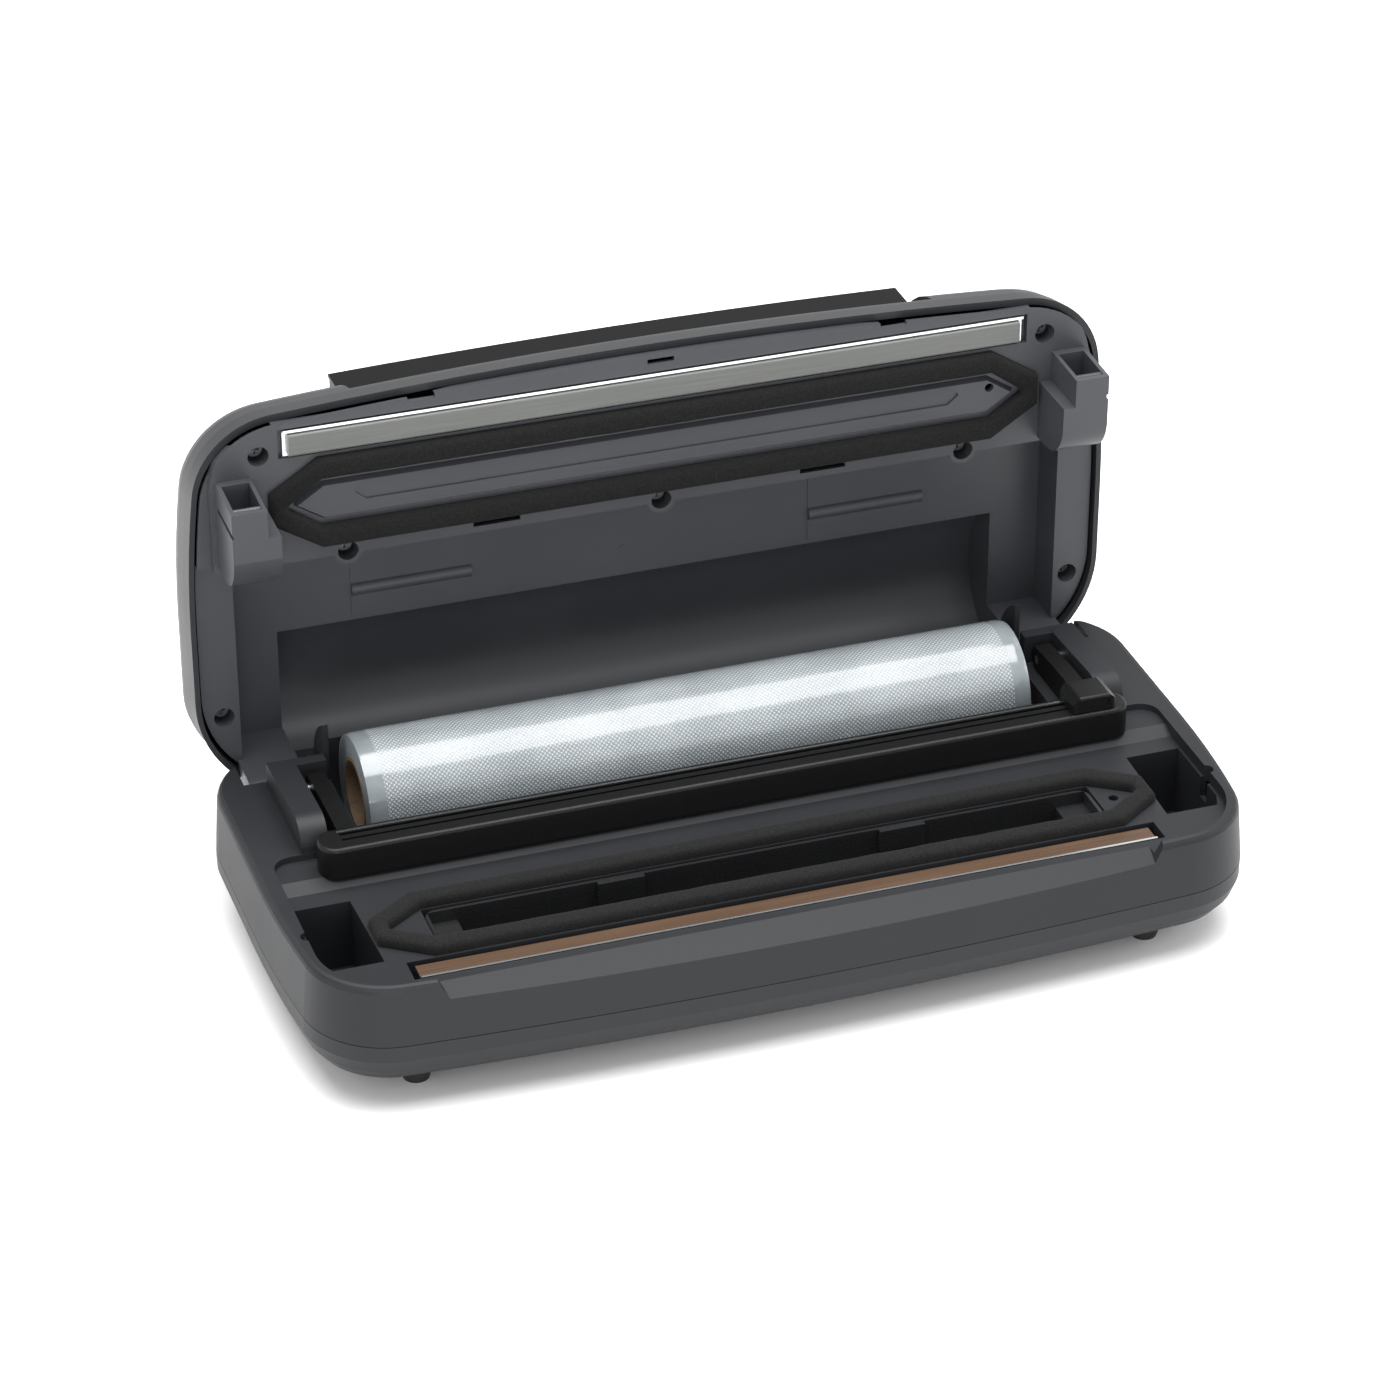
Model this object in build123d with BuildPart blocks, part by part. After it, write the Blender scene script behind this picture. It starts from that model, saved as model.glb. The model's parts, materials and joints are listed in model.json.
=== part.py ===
from build123d import *
import math
import os

os.makedirs("parts", exist_ok=True)

# ---------------------------------------------------------------------------
# Driving dimensions, millimetres.  +Z up, -Y is the front of the appliance.
# The lid is drawn standing open, square to the base.
# ---------------------------------------------------------------------------
YH = 80.0            # hinge axis, y
ZH = 48.0            # hinge axis, z
DECK = 55.0          # sealing deck height
RIM = 60.2           # rim height
PART = 35.0          # parting line between upper housing and bottom cover
BOTTOM = 9.0         # underside of the bottom cover
GROUND = 3.0         # height of the feet's soles in this drawing; export puts them on z = 0
HALF_W = 195.4       # half width of the base at the rim
FRONT_Y = -95.0      # front of the base at the rim, on the centre line
REAR_R = 12.0        # barrel radius of the rear edge about the hinge axis
WALL = 2.2           # moulded wall

HEAT_HALF = 154.0    # heater slot half length
TAPE_HALF = 151.0
GASK_Y = -44.5       # centre line of the gasket ring, y
GASK_V = 124.5       # same line measured from the hinge, on the lid
ROLL_R = 25.6
ROLL_HALF = 141.0
ROLL_Y = 55.0
ROLL_Z = 55.5
CORE_R = 14.1
BAR_HALF = 165.5
PIV_Y = 54.0         # cutter frame pivot
PIV_Z = 63.0

PLAT_W = -8.5        # liner platform, measured along the lid normal
FLANGE_W = -16.0     # liner side flange
BAND_W = -12.8       # liner front band
POCK_W = -35.6       # liner lower plane
LID_EDGE = -13.0     # edge of the outer shell
LINER = 1.8

# Lid plane: local x = X, local y = distance from the hinge axis, normal = -Y
LID = Plane(origin=(0, YH, ZH), x_dir=(1, 0, 0), z_dir=(0, -1, 0))
# Side plane for the base: local x = Y, local y = Z, normal = +X
SIDE = Plane.YZ

R_ = lambda yrel: YH + yrel       # y from the distance to the hinge axis
Z_ = lambda zrel: DECK + zrel     # z from the height above the deck
BOSSES = [(s * 170, R_(-40)) for s in (-1, 1)] + [(s * 168, R_(-86)) for s in (-1, 1)] + [(0, R_(-86))]


def base_outline(d, dr=0.0):
    """Plan of the base grown by d at the front and sides and dr at the rear."""
    rb = 32.0 + d
    yr = YH + REAR_R + dr
    a1, a2, a3 = 7.0, 79.0, 4.0
    r1, r2 = 500.0, 33.0
    c = lambda a: math.cos(math.radians(a))
    s = lambda a: math.sin(math.radians(a))
    r3 = (HALF_W - r1 * (1 - c(a1)) - r2 * (c(a1) - c(a1 + a2))) / c(a1 + a2)
    y0 = FRONT_Y + r1 * s(a1) + r2 * (s(a1 + a2) - s(a1)) + r3 * (1 - s(a1 + a2))
    with BuildSketch(Plane.XY, mode=Mode.PRIVATE) as sk:
        with BuildLine():
            l1 = Line((0, yr), (-(HALF_W + d) + rb, yr))
            l2 = JernArc(start=l1 @ 1, tangent=(-1, 0), radius=rb, arc_size=90)
            l3 = Line(l2 @ 1, (-(HALF_W + d), y0))
            l4 = JernArc(start=l3 @ 1, tangent=(0, -1), radius=r1 + d, arc_size=a1)
            l5 = JernArc(start=l4 @ 1, tangent=l4 % 1, radius=r2 + d, arc_size=a2)
            l6 = JernArc(start=l5 @ 1, tangent=l5 % 1, radius=r3 + d, arc_size=a3)
            mirror(about=Plane.YZ)
        make_face()
    return sk.sketch


def lid_outline(hw, vf, vr, rf, rr):
    """Plan of the lid: half width, front, rear and corner radii."""
    a1, a2, a3 = 7.0, 79.0, 4.0
    r1 = 500.0 * (hw / 197.5) ** 3
    c = lambda a: math.cos(math.radians(a))
    s = lambda a: math.sin(math.radians(a))
    r3 = (hw - r1 * (1 - c(a1)) - rf * (c(a1) - c(a1 + a2))) / c(a1 + a2)
    rise = r1 * s(a1) + rf * (s(a1 + a2) - s(a1)) + r3 * (1 - s(a1 + a2))
    v0 = vf - rise
    with BuildSketch(Plane.XY, mode=Mode.PRIVATE) as sk:
        with BuildLine():
            l1 = Line((0, vr), (-hw + rr, vr))
            l2 = JernArc(start=l1 @ 1, tangent=(-1, 0), radius=rr, arc_size=-90)
            l3 = Line(l2 @ 1, (-hw, v0))
            l4 = JernArc(start=l3 @ 1, tangent=(0, 1), radius=r1, arc_size=-a1)
            l5 = JernArc(start=l4 @ 1, tangent=l4 % 1, radius=rf, arc_size=-a2)
            l6 = JernArc(start=l5 @ 1, tangent=l5 % 1, radius=r3, arc_size=-a3)
            mirror(about=Plane.YZ)
        make_face()
    return sk.sketch


def box(x0, x1, y0, y1, z0, z1):
    """Loose block between two corners, used inside the builders."""
    return Pos((x0 + x1) / 2, (y0 + y1) / 2, (z0 + z1) / 2) * Box(abs(x1 - x0), abs(y1 - y0), abs(z1 - z0), mode=Mode.PRIVATE)


def lidbox(x0, x1, v0, v1, w0, w1):
    """Block given by lid coordinates."""
    return box(x0, x1, YH - w0, YH - w1, ZH + v0, ZH + v1)


def cyl_x(x0, x1, y, z, r):
    with BuildPart(mode=Mode.PRIVATE) as c:
        with BuildSketch(Plane.YZ.offset(x0)):
            with Locations((y, z)):
                Circle(r)
        extrude(amount=x1 - x0)
    return c.part


def cyl_z(x, y, z0, z1, r, r2=None):
    with BuildPart(mode=Mode.PRIVATE) as c:
        with BuildSketch(Plane.XY.offset(z0)):
            with Locations((x, y)):
                Circle(r)
        if r2 is None:
            extrude(amount=z1 - z0)
        else:
            with BuildSketch(Plane.XY.offset(z1)):
                with Locations((x, y)):
                    Circle(r2)
            loft()
    return c.part


def cyl_w(x, v, w0, w1, r):
    """Cylinder along the lid normal."""
    with BuildPart(mode=Mode.PRIVATE) as c:
        with BuildSketch(LID.offset(w0)):
            with Locations((x, v)):
                Circle(r)
        extrude(amount=w1 - w0)
    return c.part


def pocket(s, g, z0, h):
    """Block filling a latch pocket's plan grown by g."""
    with BuildPart(mode=Mode.PRIVATE) as c:
        with BuildSketch(Plane.XY.offset(z0)):
            with BuildLine():
                Polyline((s * (163.0 - g), R_(-98) + g), (s * (185.8 + g), R_(-98) + g), (s * (185.8 + g), R_(-136)),
                         (s * (183.4 + 0.6 * g), R_(-142.5) - g), (s * (161.5 - g), R_(-142.5) - g), close=True)
            make_face()
        extrude(amount=h)
    return c.part


def hexring(half, tip, tab, bend, h):
    """Closed elongated hexagon with squared tips, centred on the origin."""
    return [(-bend, h), (bend, h), (tip, tab), (tip, -tab), (bend, -h), (-bend, -h), (-tip, -tab), (-tip, tab)]


# ---------------------------------------------------------------------------
# Base: upper housing
# ---------------------------------------------------------------------------


def base_volume(t):
    """The solid under the top skin.  t = 0 is the outside, t = WALL the inside."""
    z0 = PART + 0.15 if t == 0 else PART - 8.0
    with BuildPart() as v:
        with BuildSketch(Plane.XY.offset(z0)) as s0:
            add(base_outline((2.1 if t == 0 else 2.6) - t, -t))
        # the rim's outer edge is rounded over in four facets
        for dz, d in ((2.6, 0.22), (1.3, -0.35), (0.4, -1.2), (0.0, -2.6)) if t == 0 else ((t, -t),):
            with BuildSketch(Plane.XY.offset(RIM - dz)) as s1:
                add(base_outline(d, -t))
        loft(ruled=True)
        # rounded barrel along the rear edge
        with BuildSketch(SIDE) as s2:
            with Locations((YH + 15, ZH + 15)):
                Rectangle(30, 30)
            with Locations((YH, ZH)):
                Circle(REAR_R + 0.2 - t, mode=Mode.SUBTRACT)
        extrude(amount=210, both=True, mode=Mode.SUBTRACT)
        if t == 0:
            # walls of the deep pockets below the parting line
            W = WALL
            for s in (-1, 1):
                add(pocket(s, W, Z_(-30) - W, 20.0 + W))
            add(cyl_x(-148 - W, 148 + W, ROLL_Y, ROLL_Z, 27.5 + W))
            add(box(-139 - W, 139 + W, R_(-136) - W, R_(-113) + W, Z_(-23) - W, Z_(-10)))
        # recessed sealing deck
        with BuildSketch(Plane.XY.offset(DECK - t)):
            with BuildLine():
                p1 = Line((0, R_(-68) + t), (-187 - t + 8, R_(-68) + t))
                p2 = JernArc(start=p1 @ 1, tangent=(-1, 0), radius=8, arc_size=90)
                p3 = Line(p2 @ 1, (-187 - t, R_(-136)))
                p4 = JernArc(start=p3 @ 1, tangent=(0, -1), radius=31 + t, arc_size=86)
                p5 = Line(p4 @ 1, (0, R_(-168.4) - t))
                mirror(about=Plane.YZ)
            make_face()
        extrude(amount=30, mode=Mode.SUBTRACT)
        # ledge under the cutter bar with a sloping front
        with BuildSketch(SIDE) as s3:
            with BuildLine():
                Polyline((R_(-66), Z_(-t)), (R_(-66), Z_(2.5 - t)), (R_(-82) - 0 * t, Z_(2.5 - t)), (R_(-88.5), Z_(-t)), close=True)
            make_face()
        extrude(amount=187 + t, both=True)
        # floor behind the cutter bar
        add(box(-162 - t, 162 + t, R_(-84), R_(-13) + t, Z_(2.5 - t), Z_(40)), mode=Mode.SUBTRACT)
        # housings beside the cutter arms
        for s in (-1, 1):
            with BuildSketch(SIDE.offset(s * 168.5)) as s4:
                with BuildLine():
                    q1 = Line((R_(-13.5) - t, Z_(0)), (R_(-13.5) - t, Z_(15.0 - t)))
                    q2 = Line(q1 @ 1, (R_(-57.5), Z_(17.5 - t)))
                    q3 = JernArc(start=q2 @ 1, tangent=(-1, 0.03), radius=10 - t, arc_size=88)
                    q4 = Line(q3 @ 1, (q3 @ 1).Y * Vector(0, 0) + Vector((q3 @ 1).X, Z_(0)))
                    q5 = Line(q4 @ 1, q1 @ 0)
                make_face()
            extrude(amount=5.5 - t, both=True)
            add(box(s * (150.5 + t), s * (174 - t), R_(-18.5) + t, R_(-13) - t, Z_(0), Z_(15 - t)))
        # trough the bag roll lies in
        add(cyl_x(-148 - t, 148 + t, ROLL_Y, ROLL_Z, 27.5 + t), mode=Mode.SUBTRACT)
        add(box(-148 - t, 148 + t, ROLL_Y - 27.5 - t, ROLL_Y + 27.5 + t, ROLL_Z, ROLL_Z + 40), mode=Mode.SUBTRACT)
        # hinge notches, open to the rear
        for s in (-1, 1):
            add(box(s * (153.5 - t), s * (183 + t), R_(-11) - t, R_(30), Z_(-16.5 - t), Z_(40)), mode=Mode.SUBTRACT)
            # latch pockets
            add(pocket(s, t, Z_(-30 - t), 60.0), mode=Mode.SUBTRACT)
            # small switch notch in the pocket's outer wall
            if t == 0:
                add(cyl_z(s * 186.4, R_(-124), Z_(-9), Z_(20), 3.0), mode=Mode.SUBTRACT)
        # drip channel
        add(box(-139 - t, 139 + t, R_(-136) - t, R_(-113) + t, Z_(-23 - t), Z_(20)), mode=Mode.SUBTRACT)
        # heater slot
        add(box(-HEAT_HALF - t, HEAT_HALF + t, R_(-158) - t, R_(-146) + t, Z_(-13 - t), Z_(20)), mode=Mode.SUBTRACT)
        # sloping front lip between the corners
        with BuildSketch(SIDE) as s6:
            with BuildLine():
                Polyline((R_(-162), Z_(-t)), (R_(-184), Z_(-5.7 - t)), (R_(-184), Z_(12)), (R_(-162), Z_(12)), close=True)
            make_face()
        lip = extrude(amount=150 + t, both=True, mode=Mode.PRIVATE)
        with BuildSketch(Plane.XZ.offset(-R_(-160))) as s7:
            with BuildLine():
                Polyline((-141 - t, Z_(-8)), (141 + t, Z_(-8)), (148.5 + t, Z_(6)), (148.5 + t, Z_(20)), (-148.5 - t, Z_(20)), (-148.5 - t, Z_(6)), close=True)
            make_face()
        wedge = extrude(amount=30, mode=Mode.PRIVATE)
        add(lip & wedge, mode=Mode.SUBTRACT)
    return v.part


outer_vol = base_volume(0)
inner_vol = base_volume(WALL)


with BuildPart() as base_upper_housing:
    add(outer_vol)
    add(inner_vol, mode=Mode.SUBTRACT)
    # bosses for the bottom cover screws
    for bx, by in BOSSES:
        add(cyl_z(bx, by, 14.0, 90.0, 4.0) & outer_vol)
    # groove the lower gasket sits in
    for (tip, tab, bend, h), md in (((161.0, 7.5, 142.0, 20.5), Mode.SUBTRACT),):
        with BuildSketch(Plane.XY.offset(Z_(-1.2))):
            with Locations((0, GASK_Y)):
                Polygon(*hexring(0, tip, tab, bend, h), align=None)
                Polygon(*hexring(0, 154.5, 1.5, 138.5, 12.4), align=None, mode=Mode.SUBTRACT)
        extrude(amount=10, mode=md)
    # bores for the hinge pins and the cutter pivots
    for s in (-1, 1):
        add(cyl_x(min(s * 150.5, s * 188), max(s * 150.5, s * 188), YH, ZH, 2.5), mode=Mode.SUBTRACT)
        add(cyl_x(min(s * 160, s * 170), max(s * 160, s * 170), PIV_Y, PIV_Z, 2.0), mode=Mode.SUBTRACT)
        # slots the latch hooks swing through
        add(box(s * 171.0, s * 181.0, R_(-146), R_(-140), Z_(-22), Z_(-8)), mode=Mode.SUBTRACT)
    for bx, by in BOSSES:
        add(cyl_z(bx, by, 13.0, 30.0, 1.45), mode=Mode.SUBTRACT)
    # opening for the power inlet in the rear wall
    add(box(-15.2, 15.2, R_(2), R_(16), 35.0, 46.2), mode=Mode.SUBTRACT)
    # port from the chamber to the pump
    add(cyl_z(146.0, GASK_Y, Z_(-6), Z_(2), 2.0), mode=Mode.SUBTRACT)

# ---------------------------------------------------------------------------
# Base: bottom cover, feet and screws
# ---------------------------------------------------------------------------
HULL = [(PART - 0.15, 2.1), (28.0, 2.0), (22.0, -0.2), (17.0, -4.2), (12.5, -10.4), (BOTTOM, -18.0)]


def hull(t):
    secs = []
    with BuildPart() as h:
        n = len(HULL)
        for i, (z, d) in enumerate(HULL):
            zz = z + (t if i == n - 1 else t * i / (n - 1))
            if t and i == 0:
                zz = z + 0.01
            with BuildSketch(Plane.XY.offset(zz)) as s:
                add(base_outline(d - t, -t + min(0.0, d) * 0.12))
            secs.append(s.sketch)
        loft(sections=secs, ruled=True)
    return h.part


hull_out = hull(0)
with BuildPart() as bottom_cover:
    add(hull_out)
    add(hull(WALL), mode=Mode.SUBTRACT)
    for bx, by in BOSSES:
        add(cyl_z(bx, by, 12.6, 13.8, 5.0))
        add(cyl_z(bx, by, BOTTOM + 0.3, 12.7, 5.0))
    for bx, by in BOSSES:
        add(cyl_z(bx, by, 5.0, 12.2, 3.5), mode=Mode.SUBTRACT)
        add(cyl_z(bx, by, 5.0, 20.0, 1.6), mode=Mode.SUBTRACT)
    # clear the pockets that come down from the upper housing
    for s in (-1, 1):
        add(pocket(s, WALL + 0.3, Z_(-30) - WALL - 0.4, 25.0), mode=Mode.SUBTRACT)
    # opening for the lower half of the power inlet
    add(box(-15.2, 15.2, R_(2), R_(16), 24.0, 36.0), mode=Mode.SUBTRACT)

FEET = [(s * 152.0, y) for s in (-1, 1) for y in (R_(-147), R_(-14))]
with BuildPart() as rubber_feet:
    for fx, fy in FEET:
        add(cyl_z(fx, fy, GROUND, GROUND + 2.0, 5.2, 5.8))
        add(cyl_z(fx, fy, GROUND + 2.0, 18.0, 5.8, 8.6))
    add(hull_out, mode=Mode.SUBTRACT)

with BuildPart() as bottom_cover_screws:
    for bx, by in BOSSES:
        with BuildPart(mode=Mode.PRIVATE) as scr:
            add(cyl_z(bx, by, 10.0, 12.2, 3.0))
            add(cyl_z(bx, by, 12.2, 28.0, 1.4))
            add(Pos(bx, by, 10.2) * Box(3.6, 0.8, 1.0, mode=Mode.PRIVATE), mode=Mode.SUBTRACT)
            add(Pos(bx, by, 10.2) * Box(0.8, 3.6, 1.0, mode=Mode.PRIVATE), mode=Mode.SUBTRACT)
        add(scr.part)

# ---------------------------------------------------------------------------
# Base: sealing parts on the deck
# ---------------------------------------------------------------------------
with BuildPart() as heater_bar:
    add(box(-HEAT_HALF + 3.0, HEAT_HALF - 3.0, R_(-156.6), R_(-147.4), Z_(-13), Z_(-2.0)))
    # bright front edge, standing just proud of the deck
    add(box(-HEAT_HALF + 3.0, HEAT_HALF - 3.0, R_(-157.7), R_(-156.6), Z_(-13), Z_(0.25)))
    fillet(heater_bar.edges().filter_by(Axis.Z), 0.4)

with BuildPart() as heating_element:
    add(box(-TAPE_HALF + 3, TAPE_HALF - 3, R_(-153.5), R_(-150.5), Z_(-2.0), Z_(-1.6)))

with BuildPart() as ptfe_tape:
    add(box(-TAPE_HALF, TAPE_HALF, R_(-156.4), R_(-147.6), Z_(-1.6), Z_(-1.1)))

with BuildPart() as lower_gasket:
    with BuildSketch(Plane.XY.offset(Z_(-1.2))):
        with Locations((0, GASK_Y)):
            Polygon(*hexring(0, 160.6, 7.0, 141.8, 20.2), align=None)
            Polygon(*hexring(0, 155.0, 1.5, 138.8, 12.8), align=None, mode=Mode.SUBTRACT)
    extrude(amount=1.7)

with BuildPart() as drip_tray:
    add(box(-138.4, 138.4, R_(-135.4), R_(-113.6), Z_(-22.4), Z_(-0.6)))
    fillet(drip_tray.edges().filter_by(Axis.Z), 5.0)
    fillet(drip_tray.faces().sort_by(Axis.Z)[0].edges(), 2.0)
    add(box(-137.0, 137.0, R_(-134.0), R_(-115.0), Z_(-21.0), Z_(5)), mode=Mode.SUBTRACT)
    # stepped shelf at each end
    for s in (-1, 1):
        add(box(s * 137.2, s * 125.0, R_(-134.2), R_(-114.8), Z_(-21.2), Z_(-6.0)))
    # two finger tabs on the rear wall
    for s in (-1, 1):
        add(box(s * 49.0, s * 68.2, R_(-117.2), R_(-114.0), Z_(-10), Z_(-0.6)))

# ---------------------------------------------------------------------------
# Base: vacuum system and electronics under the deck
# ---------------------------------------------------------------------------
with BuildPart() as vacuum_pump:
    add(box(-118, -84, R_(-106), R_(-68), 15, 42))
    fillet(vacuum_pump.edges().filter_by(Axis.Z), 4)
    add(cyl_x(-126, -118, R_(-87), 28.5, 11))
    add(cyl_z(-101, R_(-99), 42, 47, 2.6))

with BuildPart() as pump_motor:
    add(cyl_x(-83.7, -34, R_(-87), 28.5, 14.0))
    add(cyl_x(-34, -30, R_(-87), 28.5, 5.0))

with BuildPart() as vacuum_hose:
    with BuildLine() as hp:
        FilletPolyline((-101, R_(-99), 49.6), (-60, R_(-99), 49.6), (60, R_(-101), 49.6), (134, R_(-101), 49.6), radius=8)
    with BuildSketch(Plane(origin=hp.line @ 0, z_dir=hp.line % 0)):
        Circle(2.2)
        Circle(1.3, mode=Mode.SUBTRACT)
    sweep()

with BuildPart() as main_circuit_board:
    add(box(20, 118, R_(-106), R_(-66), 16.0, 17.6))
    add(box(40, 56, R_(-96), R_(-80), 17.6, 19.4))
    add(box(66, 78, R_(-100), R_(-88), 17.6, 27.0))
    add(box(86, 112, R_(-84), R_(-70), 17.6, 24.0))
    for i in range(4):
        add(cyl_z(28 + 0 * i, R_(-100 + i * 9), 17.6, 26.0, 3.2))

with BuildPart() as power_board:
    add(box(-118, 118, R_(-134), R_(-118), 15.0, 16.6))
    add(box(-60, -34, R_(-133), R_(-119), 16.6, 28.0))
    add(box(10, 30, R_(-132), R_(-120), 16.6, 27.0))
    for i in range(3):
        add(cyl_z(-100 + i * 14, R_(-126), 16.6, 28.0, 4.5))

with BuildPart() as power_inlet:
    add(box(-15.0, 15.0, R_(4.0), R_(12.4), 24.4, 45.8))
    add(box(-12.0, 12.0, R_(8.0), R_(16.0), 27.6, 42.6), mode=Mode.SUBTRACT)
    for px in (-5, 5):
        add(box(px - 1.2, px + 1.2, R_(7.5), R_(12.4), 33.9, 36.3))

with BuildPart() as lid_switches:
    for s in (-1, 1):
        with BuildPart(mode=Mode.PRIVATE) as sw:
            add(box(s * 188.6, s * 191.2, R_(-128), R_(-115), 37.0, 43.0))
            add(box(s * 189.2, s * 190.6, R_(-122.4), R_(-119.6), 43.0, 45.0))
        add(sw.part)

with BuildPart() as hinge_pins:
    for s in (-1, 1):
        add(cyl_x(min(s * 150.6, s * 187.4), max(s * 150.6, s * 187.4), YH, ZH, 2.5))

with BuildPart() as cutter_pivot_pins:
    for s in (-1, 1):
        add(cyl_x(min(s * 153.0, s * 168.0), max(s * 153.0, s * 168.0), PIV_Y, PIV_Z, 2.0))

# ---------------------------------------------------------------------------
# Latch shaft with its two hooks, in front of the pockets
# ---------------------------------------------------------------------------
LATCH_Y = R_(-151.5)
LATCH_Z = 29.0
with BuildPart() as latch_shaft:
    add(cyl_x(-181, 181, LATCH_Y, LATCH_Z, 2.0))

with BuildPart() as latch_hooks:
    for s in (-1, 1):
        with BuildPart(mode=Mode.PRIVATE) as hk:
            with BuildSketch(SIDE.offset(s * 176.0)):
                with BuildLine():
                    Polyline((LATCH_Y - 3.5, LATCH_Z - 3.5), (LATCH_Y + 3.5, LATCH_Z - 3.5), (LATCH_Y + 3.2, LATCH_Z + 9.5),
                             (LATCH_Y + 10.4, LATCH_Z + 11.5), (LATCH_Y + 10.4, LATCH_Z + 13.0), (LATCH_Y + 5.0, LATCH_Z + 15.5),
                             (LATCH_Y - 3.0, LATCH_Z + 15.5), close=True)
                make_face()
            extrude(amount=3.0, both=True)
            add(cyl_x(s * 176 - 6, s * 176 + 6, LATCH_Y, LATCH_Z, 2.0), mode=Mode.SUBTRACT)
        add(hk.part)

# ---------------------------------------------------------------------------
# Bag cutter: swinging frame, rail, slider, blade
# ---------------------------------------------------------------------------
BAR_Y0, BAR_Y1 = R_(-86.0), R_(-70.0)
BAR_Z0, BAR_Z1 = Z_(3.0), Z_(16.0)

with BuildPart() as cutter_frame:
    with BuildSketch(Plane.XY.offset(BAR_Z0)) as bar_plan:
        with Locations((0, (BAR_Y0 + BAR_Y1) / 2)):
            RectangleRounded(2 * (BAR_HALF + 4.5), BAR_Y1 - BAR_Y0, 7.0)
    extrude(amount=BAR_Z1 - BAR_Z0)
    fillet(cutter_frame.faces().sort_by(Axis.Z)[-1].edges(), 1.6)
    # arms back to the pivots
    for s in (-1, 1):
        with BuildSketch(SIDE.offset(s * 156.5)):
            with BuildLine():
                Polyline((R_(-72), Z_(3.2)), (R_(-72), Z_(15.2)), (R_(-44), Z_(14.6)), (PIV_Y - 4, PIV_Z + 5.6), (PIV_Y + 3.0, PIV_Z + 5.0),
                         (PIV_Y + 5.6, PIV_Z), (PIV_Y + 3.0, PIV_Z - 4.6), (PIV_Y - 6, Z_(3.2)), close=True)
            make_face()
        extrude(amount=3.6, both=True)
        add(cyl_x(s * 156.5 - 3.6, s * 156.5 + 3.6, PIV_Y, PIV_Z, 2.05), mode=Mode.SUBTRACT)
    # track grooves the slider runs in
    add(box(-160.5, 160.5, R_(-75.8), R_(-74.2), Z_(9.0), Z_(20)), mode=Mode.SUBTRACT)
    add(box(-160.5, 160.5, R_(-79.6), R_(-78.4), Z_(14.2), Z_(20)), mode=Mode.SUBTRACT)
    add(box(-161.5, 161.5, R_(-73.4), R_(-71.6), Z_(14.6), Z_(20)), mode=Mode.SUBTRACT)

with BuildPart() as cutter_rail:
    add(box(-161.2, 161.2, R_(-73.2), R_(-71.8), Z_(14.6), Z_(15.9)))

KNOB_X = 155.0
with BuildPart() as cutter_slider:
    with BuildSketch(Plane.XZ.offset(-R_(-69.6))) as kn:
        with BuildLine():
            Polyline((KNOB_X - 10.5, Z_(16.3)), (KNOB_X + 8.5, Z_(16.3)), (KNOB_X + 8.5, Z_(20.5)), (KNOB_X + 5.5, Z_(23.2)), (KNOB_X - 7.5, Z_(23.2)), (KNOB_X - 10.5, Z_(20.0)), close=True)
        make_face()
    extrude(amount=15.0)
    fillet(cutter_slider.edges().filter_by(Axis.Z), 1.8)
    fillet(cutter_slider.faces().sort_by(Axis.Z)[-1].edges(), 1.4)
    # oval finger inset on the front
    with BuildSketch(Plane.XZ.offset(-R_(-84.0))):
        with Locations((KNOB_X - 1.0, Z_(19.9))):
            SlotOverall(13.5, 4.6)
    extrude(amount=1.0, mode=Mode.SUBTRACT)
    # stem down into the track
    add(box(KNOB_X - 4.5, KNOB_X + 4.0, R_(-75.4), R_(-74.6), Z_(12.4), Z_(16.6)))

with BuildPart() as cutter_blade:
    add(box(KNOB_X - 4.0, KNOB_X + 3.4, R_(-75.25), R_(-74.75), Z_(9.6), Z_(12.4)))

# ---------------------------------------------------------------------------
# Bag roll
# ---------------------------------------------------------------------------
with BuildPart() as film_roll:
    with BuildSketch(Plane.YZ.offset(-ROLL_HALF)):
        with Locations((ROLL_Y, ROLL_Z)):
            Circle(ROLL_R)
            Circle(CORE_R + 1.6, mode=Mode.SUBTRACT)
    extrude(amount=2 * ROLL_HALF)

with BuildPart() as roll_core:
    with BuildSketch(Plane.YZ.offset(-ROLL_HALF - 0.2)):
        with Locations((ROLL_Y, ROLL_Z)):
            Circle(CORE_R + 1.6)
            Circle(CORE_R, mode=Mode.SUBTRACT)
    extrude(amount=2 * ROLL_HALF + 0.4)

# ---------------------------------------------------------------------------
# Lid: outer shell
# ---------------------------------------------------------------------------
# depth, half width, front, rear, front corner, rear corner
SHELL = [
    (-13.0, 195.6, 168.8, -12.0, 36.0, 50.0),
    (-24.0, 195.6, 166.2, -11.4, 36.0, 48.0),
    (-34.0, 195.4, 163.2, -10.6, 36.0, 42.0),
    (-42.0, 194.4, 159.6, -9.0, 36.0, 36.0),
    (-49.0, 192.6, 154.8, -6.4, 35.0, 31.0),
    (-54.5, 189.6, 149.0, -3.0, 34.0, 29.0),
    (-58.8, 185.6, 142.4, 1.0, 32.0, 27.0),
    (-62.0, 180.0, 134.6, 6.4, 30.0, 25.0),
    (-64.2, 173.0, 125.4, 13.2, 28.0, 23.0),
    (-65.0, 164.0, 114.0, 22.0, 26.0, 21.0),
]
T = 2.2


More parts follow.
